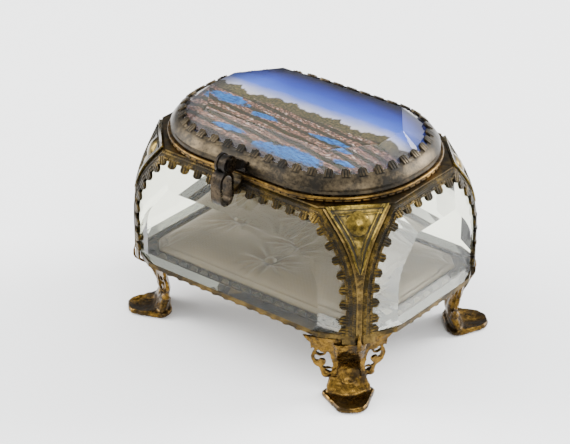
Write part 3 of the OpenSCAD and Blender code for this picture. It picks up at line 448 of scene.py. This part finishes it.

# %% [markdown]
# Each pool is an ellipse, given by its middle, length and depth, and the noise breaks up its edge. Last
# come a brown painted shade along the front, and a dark rim that follows the lid's rounded outline, as
# such prints have.

# %% Pools, shade and rim
POOLS = [
    (0.22, -0.66, 0.30, 0.12), (-0.62, -0.16, 0.20, 0.10), (-0.22, -0.28, 0.15, 0.05),
    (0.40, -0.30, 0.18, 0.05), (-0.36, -0.58, 0.16, 0.05), (0.62, -0.48, 0.10, 0.04)]
SHADE_LINE = -0.76
OUTLINE_POWER = 3.2


def pool(centre_x, centre_y, length, depth):
    far = (((across - centre_x) / length) ** 2.0 + ((up - centre_y) / depth) ** 2.0)
    return ((1.0 - far + (fine - 0.5) * 2.6 + (haze - 0.5) * 3.0) * 4.0).clamped()


water = paint.mix(((fine - 0.38) * 4.0).clamped(), rgb(0.003, 0.028, 0.15), rgb(0.02, 0.19, 0.50))
for shape in POOLS:
    picture_colour = paint.mix(pool(*shape), picture_colour, water)
# A brown painted shade darkens the front of the picture.
shade = below(SHADE_LINE + (haze - 0.5) * 0.3, 0.14)
picture_colour = paint.mix(shade, picture_colour, rgb(0.045, 0.034, 0.022))
outline = across.size() ** OUTLINE_POWER + up.size() ** OUTLINE_POWER
rim = ((outline - 0.34) * 2.6).clamped()
picture_colour = paint.mix(rim * 0.7, picture_colour, rgb(0.004, 0.005, 0.018))
picture = paint.finish(Base_Color=picture_colour, Roughness=0.4)
print("picture has", len(POOLS), "pools")

# %% [markdown]
# The floor of the casket is a thin pad covered in taupe silk. Silk shows a fine diagonal weave, a soft
# sheen, and slow bands where the threads lie differently. The threads are far too fine to model, so bump
# shows them, and ambient occlusion paints shade into the creases.

# %% Silk
TWILL = 5200.0
SLUB_STRETCH = (60.0, 900.0, 300.0)
SILK_CLOUD_SCALE = 45.0
CREASE_REACH = 4.0 * MM
THREAD_DEPTH = 0.06 * MM


def silk_material(name, light_tone, dark_tone, crease_shade_tone):
    paint = Paint(name)
    place = paint.place()
    x, y, _ = paint.axes(place)
    twill = ((x + y) * TWILL).sine() * 0.5 + 0.5
    drawn_out = paint.node("VectorMath", {0: place, 1: SLUB_STRETCH}, operation="MULTIPLY")
    slub = paint.noise(drawn_out, 1.0)
    cloud = paint.noise(place, SILK_CLOUD_SCALE)
    colour = paint.mix((cloud * 0.8 + slub * 0.35).clamped(), rgb(*dark_tone), rgb(*light_tone))
    # Creases are darkened as painted shade.
    crease_shade = ((1.0 - paint.openness(CREASE_REACH, samples=8)) * 2.6 - 0.15).clamped()
    colour = paint.mix(crease_shade * 0.8, colour, rgb(*crease_shade_tone))
    return paint.finish(
        Base_Color=colour,
        Roughness=(0.5 + (slub - 0.5) * 0.2).clamped(),
        Normal=paint.bump(twill * 0.3 + slub, THREAD_DEPTH, 0.5),
        Sheen_Weight=0.15,
        Sheen_Roughness=0.4)


silk = silk_material("silk", (0.205, 0.150, 0.084), (0.070, 0.049, 0.026), (0.012, 0.008, 0.004))
print("silk ready")

# %% [markdown]
# Now every node of the frame gets its finish. The record names one material slot for each node, and the
# table here says which material stands for which slot. Two nodes take a brass of their own: the base
# strip, whose inside is darkened with painted shade, and the plate behind the picture, which is too plain
# to be blotched.

# %% Dress the nodes of the frame
FINISHES = {
    "wall_glass": wall_glass, "lid_glass": lid_glass, "dark_brass": dark_brass,
    "bezel_brass": bezel_brass, "bright_gilt": bright_gilt, "gilt_brass": gilt_brass,
    "copper_brown": copper_brown, "silk": silk, "picture": picture}
OWN_FINISHES = {"base_gallery": base_brass, "lid_backing": backing_brass}


def slot_of(node):
    if node == "lid_glass":
        return "lid_glass"
    if node.endswith("_glass"):
        return "wall_glass"
    if node == "lid_print":
        return "picture"
    if node in ("base_pad", "pad_buttons"):
        return "silk"
    if node.startswith("clasp"):
        return "copper_brown"
    if node == "lid_bezel":
        return "bezel_brass"
    if node.startswith("spandrel"):
        return "bright_gilt"
    if node.startswith("foot") or node in ("top_rim", "hinge_pin"):
        return "gilt_brass"
    return "dark_brass"


for name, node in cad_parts.items():
    node.data.materials.clear()
    node.data.materials.append(OWN_FINISHES.get(name, FINISHES[slot_of(name)]))
print("dressed", len(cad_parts), "nodes")

# %% [markdown]
# Several pieces are finer than their plain construction shows. Each starts as a copy of
# its node, so that it sits exactly where the frame holds it. The copy's loose triangles
# are merged first, because every later operator needs to know which faces are neighbours.

# %% Copy a node as a closed mesh
SAME_POINT = 0.002 * MM


def merged(node):
    shape = bmesh.new()
    shape.from_mesh(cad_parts[node].data)
    bmesh.ops.remove_doubles(shape, verts=shape.verts, dist=SAME_POINT)
    return shape


def to_mesh(shape, name, smooth=True):
    for face in shape.faces:
        face.smooth = smooth
    mesh = bpy.data.meshes.new(name)
    shape.to_mesh(mesh)
    shape.free()
    return mesh


def piece_from(mesh, name, body, slot, node, finish=None):
    piece = bpy.data.objects.new(name, mesh)
    bpy.context.collection.objects.link(piece)
    mesh.materials.clear()
    mesh.materials.append(finish or FINISHES[slot])
    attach(piece, body)
    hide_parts(node)
    return piece


print("points closer than", in_mm(SAME_POINT), "mm are merged")

# %% [markdown]
# The picture is glued to the underside of the glass. Without glue, a film of air between
# them would act as a mirror at every bevel and hide the picture. The glued sheet is
# therefore placed so that its face lies a hair inside the glass, where no film is left,
# and it is trimmed by a hair all round.

# %% Glue the picture to the glass
GLUE = 0.03 * MM
SHEET_SHARE = 0.996
glass_low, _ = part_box("lid_glass")
sheet = merged("lid_print")
lift = glass_low.z + GLUE - print_high.z
bmesh.ops.translate(sheet, verts=sheet.verts, vec=(0, 0, lift))
about = Matrix.Translation(-middle)
bmesh.ops.scale(sheet, verts=sheet.verts, vec=(SHEET_SHARE, SHEET_SHARE, 1), space=about)
piece_from(to_mesh(sheet, "lid_view", smooth=False), "lid_view", "lid", "picture", "lid_print")
print("picture lifted by", in_mm(lift), "mm")

# %% [markdown]
# The feet are cast: molten brass leaves no sharp edge, and years of wear round it further.
# A voxel remesh turns the built-up solid into one even skin, and a few passes of
# smoothing melt its edges together, which a bevel on so many meeting shapes could not.
# The sand of the mould leaves a slightly lumpy face, so a displacement adds that last. It
# only presses inwards, so that no foot reaches below the table.

# %% Cast feet
CORNERS = ("front_right", "back_right", "back_left", "front_left")
CAST_VOXEL = 0.2 * MM
MELT_PASSES = 4
SAND_DEPTH = 0.45 * MM
sand_marks = bpy.data.textures.new("sand_marks", "CLOUDS")
sand_marks.noise_scale = 2.4 * MM
sand_marks.noise_depth = 1


def cast(node):
    mesh = to_mesh(merged(node), node + "_cast")
    piece = piece_from(mesh, node + "_cast", "casket", "gilt_brass", node, cast_brass)
    skin = piece.modifiers.new("skin", "REMESH")
    skin.mode = "VOXEL"
    skin.voxel_size = CAST_VOXEL
    skin.use_smooth_shade = True
    melt = piece.modifiers.new("melt", "SMOOTH")
    melt.factor = 0.5
    melt.iterations = MELT_PASSES
    sand = piece.modifiers.new("sand", "DISPLACE")
    sand.texture = sand_marks
    sand.strength = SAND_DEPTH
    sand.mid_level = 1.0
    return piece


feet = [cast("foot_" + corner) for corner in CORNERS]
print("cast", len(feet), "feet")

# %% [markdown]
# Pressed sheet has crisp edges with a small radius, which catch a thin line of light. A
# shader can round its shading, but the outline stays hard, so every sharp edge gets a real
# bevel. The coplanar triangles are first dissolved into whole faces, so that the bevel
# only meets edges that really exist.

# %% Rounded edges on the pressed brass
SIDES = ("front", "right", "back", "left")
FLAT_ANGLE = math.radians(1)
SHARP_ANGLE = math.radians(28)
SHADING_ANGLE = math.radians(40)
SHEET_RADIUS = 0.07 * MM
BEZEL_RADIUS = 0.08 * MM


def pressed(node, body, slot, radius, finish=None):
    shape = merged(node)
    bmesh.ops.dissolve_limit(shape, angle_limit=FLAT_ANGLE, verts=shape.verts, edges=shape.edges)
    sharp = [e for e in shape.edges if len(e.link_faces) == 2 and e.calc_face_angle() > SHARP_ANGLE]
    bmesh.ops.bevel(shape, geom=sharp, offset=radius, segments=2, profile=0.5, affect="EDGES",
        material=-1, clamp_overlap=True)
    mesh = to_mesh(shape, node + "_pressed")
    mesh.set_sharp_from_angle(angle=SHADING_ANGLE)
    return piece_from(mesh, node + "_pressed", body, slot, node, finish)


strips = [pressed(side + "_gallery", "casket", "dark_brass", SHEET_RADIUS, ribbed_brass) for side in SIDES]
for corner in CORNERS:
    pressed("spandrel_" + corner, "casket", "bright_gilt", SHEET_RADIUS)
bezel = pressed("lid_bezel", "lid", "bezel_brass", BEZEL_RADIUS)
print("faces on one strip", len(strips[0].data.polygons), "on the bezel", len(bezel.data.polygons))

# %% [markdown]
# The pad is thin wadding under silk, drawn down by five covered buttons: one in the
# middle and one towards each wall. The buttons are a node of the frame, so their places
# are worked out from its box.

# %% Where the buttons pull
BUTTON_RADIUS = 1.7 * MM
button_low, button_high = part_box("pad_buttons")
button_reach = (button_high - button_low).xy / 2 - Vector((BUTTON_RADIUS, BUTTON_RADIUS))
BUTTONS = [Vector((middle.x + dx * button_reach.x, middle.y + dy * button_reach.y))
    for dx, dy in ((0, 0), (1, 0), (-1, 0), (0, 1), (0, -1))]
print("side buttons are", in_mm(*button_reach), "mm from the middle")

# %% [markdown]
# The silk swells, so the pad starts a little smaller than its node. It is worked at ten
# times its size, because the solver is meant for garments, and its skin is remeshed into
# even faces. The points under the buttons and along the floor are held still.

# %% A pad of even faces
WORKED_AT = 10.0
START_SHARE = (0.985, 0.985, 0.93)
PAD_VOXEL = 0.7 * MM
HELD_FLOOR = 0.6 * MM
HELD_RADIUS = 1.6 * MM
pad_foot = Vector(((pad_low.x + pad_high.x) / 2, (pad_low.y + pad_high.y) / 2, pad_low.z))
shape = merged("base_pad")
bmesh.ops.scale(shape, verts=shape.verts, vec=START_SHARE, space=Matrix.Translation(-pad_foot))
bmesh.ops.scale(shape, verts=shape.verts, vec=(WORKED_AT,) * 3)
pad = piece_from(to_mesh(shape, "silk_pad"), "silk_pad", "casket", "silk", "base_pad")
remesh = pad.modifiers.new("remesh", "REMESH")
remesh.mode = "VOXEL"
remesh.voxel_size = PAD_VOXEL * WORKED_AT
even = bpy.data.meshes.new_from_object(pad.evaluated_get(bpy.context.evaluated_depsgraph_get()))
pad.modifiers.remove(remesh)
pad.data = even
even.materials.clear()
even.materials.append(silk)


def is_held(point):
    if point.z < pad_low.z + HELD_FLOOR:
        return True
    return min((point.xy - button).length for button in BUTTONS) < HELD_RADIUS


held_points = [v.index for v in even.vertices if is_held(v.co / WORKED_AT)]
print("pad has", len(even.polygons), "faces, held at", len(held_points), "points")

# %% [markdown]
# A cloth simulation with a little air pressure swells the silk between the buttons. No
# point may move further than the wadding could push it, and the cloth is taken off again
# once its shape is in the mesh.

# %% Puff the silk
FRAMES = 20
AIR_PRESSURE = 4.0
MOST_SWELL = 1.4 * MM


def puff(piece, held):
    scene = bpy.context.scene
    group = piece.vertex_groups.new(name="held")
    group.add(held, 1.0, "REPLACE")
    cloth = piece.modifiers.new("silk", "CLOTH")
    cloth.settings.quality = 5
    cloth.settings.mass = 0.3
    cloth.settings.use_pressure = True
    cloth.settings.uniform_pressure_force = AIR_PRESSURE
    cloth.settings.vertex_group_mass = "held"
    cloth.settings.effector_weights.gravity = 0.0
    cloth.point_cache.frame_start = 1
    cloth.point_cache.frame_end = FRAMES
    for number in range(1, FRAMES + 1):
        scene.frame_set(number)
    shown = piece.evaluated_get(bpy.context.evaluated_depsgraph_get())
    swollen = [v.co.copy() for v in shown.data.vertices]
    piece.modifiers.remove(cloth)
    scene.frame_set(1)
    return swollen


def capped(move, most):
    return move if move.length < most else move.normalized() * most


start = [v.co.copy() for v in even.vertices]
for vertex, begun, ended in zip(even.vertices, start, puff(pad, held_points)):
    vertex.co = begun + capped(ended - begun, MOST_SWELL * WORKED_AT)
print("silk may swell by", in_mm(MOST_SWELL), "mm")

# %% [markdown]
# Pleats run out from each button, deepest a little way from it. A cosine of the angle
# round the button makes them, and a slower wave sways them, differently from left to
# right. They only press the silk down. They are in the mesh, since bump would leave the
# pad's outline flat, and they come after the simulation, which would have pulled them out.

# %% Pleats
PLEAT = 0.55 * MM
PLEATS = 13
PLEAT_SWAY = 2.5
SWAY_SHIFT = 900.0
DEEPEST_AT = 4 * MM
PLEAT_SPREAD = 4.5 * MM
FLAT_SIDE = 2 * MM


def fold(point):
    button = min(BUTTONS, key=lambda b: (point.xy - b).length)
    out = point.xy - button
    angle = math.atan2(out.y, out.x)
    depth = math.exp(-((out.length - DEEPEST_AT) / PLEAT_SPREAD) ** 2)
    sway = PLEAT_SWAY * math.sin(3 * angle + button.x * SWAY_SHIFT)
    return PLEAT * depth * math.cos(PLEATS * angle + sway)


for vertex in even.vertices:
    vertex.co /= WORKED_AT
    if vertex.co.z > pad_low.z + FLAT_SIDE:
        vertex.co.z += fold(vertex.co) - PLEAT
for face in even.polygons:
    face.use_smooth = True
fine_silk = pad.modifiers.new("fine", "SUBSURF")
fine_silk.levels = fine_silk.render_levels = 1
print("pleats", PLEATS, "at each of", len(BUTTONS), "buttons")
